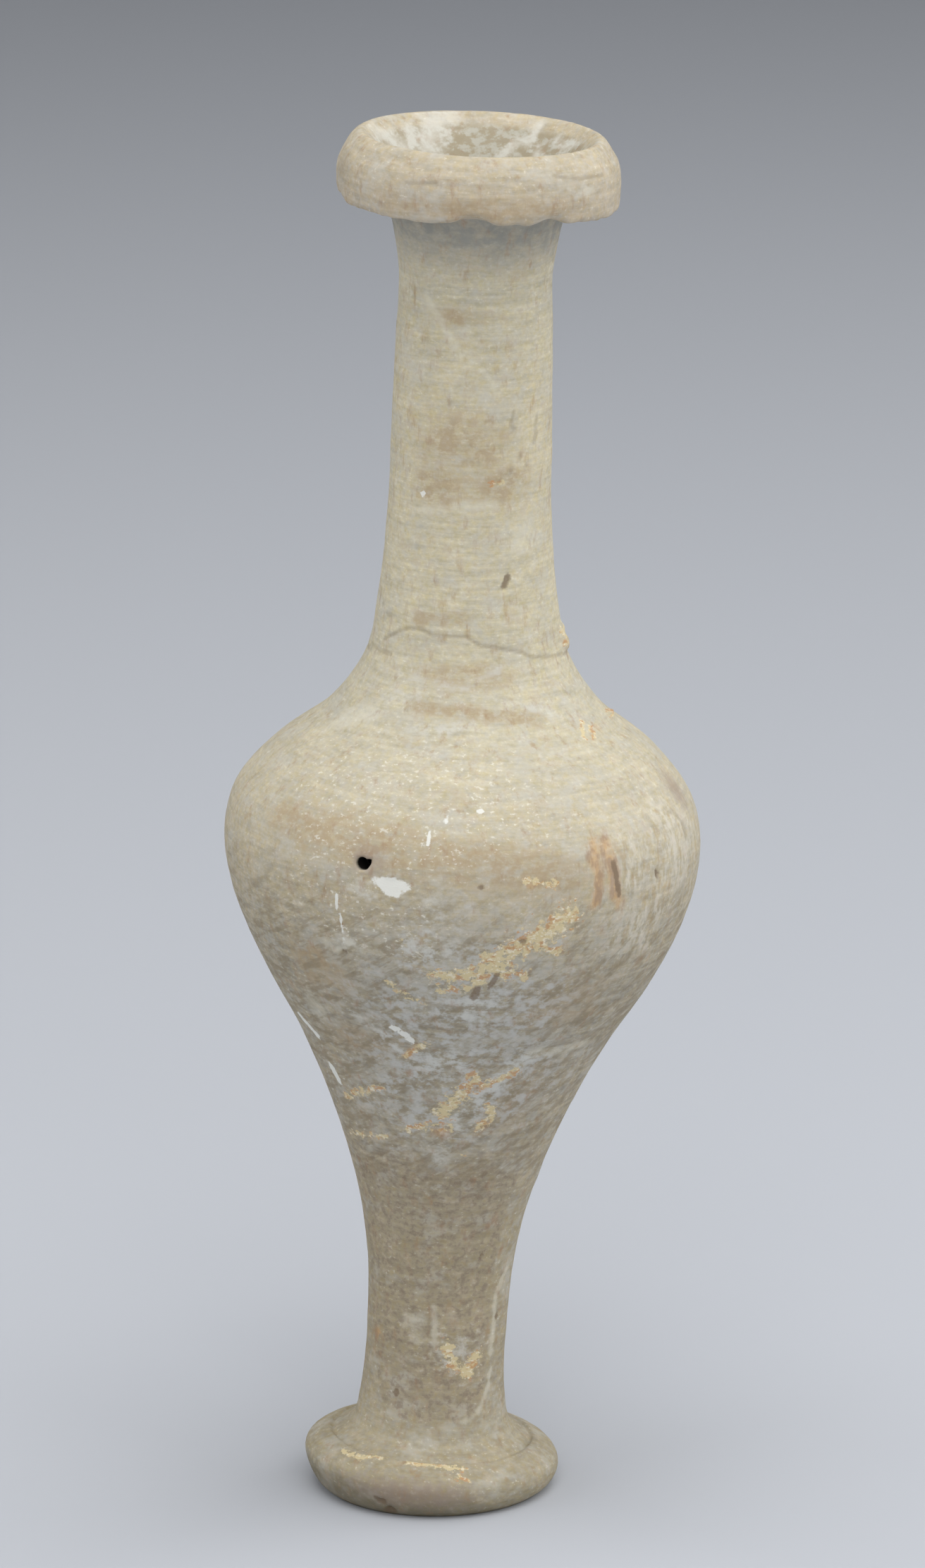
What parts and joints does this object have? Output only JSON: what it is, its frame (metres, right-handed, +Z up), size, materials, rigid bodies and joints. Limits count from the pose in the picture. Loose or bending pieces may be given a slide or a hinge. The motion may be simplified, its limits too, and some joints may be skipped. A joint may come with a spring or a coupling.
{
  "type": "ceramic spindle unguentarium",
  "caption": "Small thrown pottery perfume bottle: swelling spindle body, long narrow neck, overhanging rim and disc foot, hollow from the mouth to the lower body.",
  "frame": {"origin": "centre of the flat underside that the vessel stands on", "axes": "+Z up along the vessel, towards the mouth; -Y towards the viewer's side, which has the small worn hole; the vessel leans about two degrees towards +X"},
  "size_m": [0.0535, 0.0536, 0.1575],
  "materials": {
    "fired_clay": "matt, unglazed, weathered, with pale lime deposits and rusty stains"
  },
  "bodies": {
    "root": {"vessel": "fired_clay"}
  },
  "joints": []
}
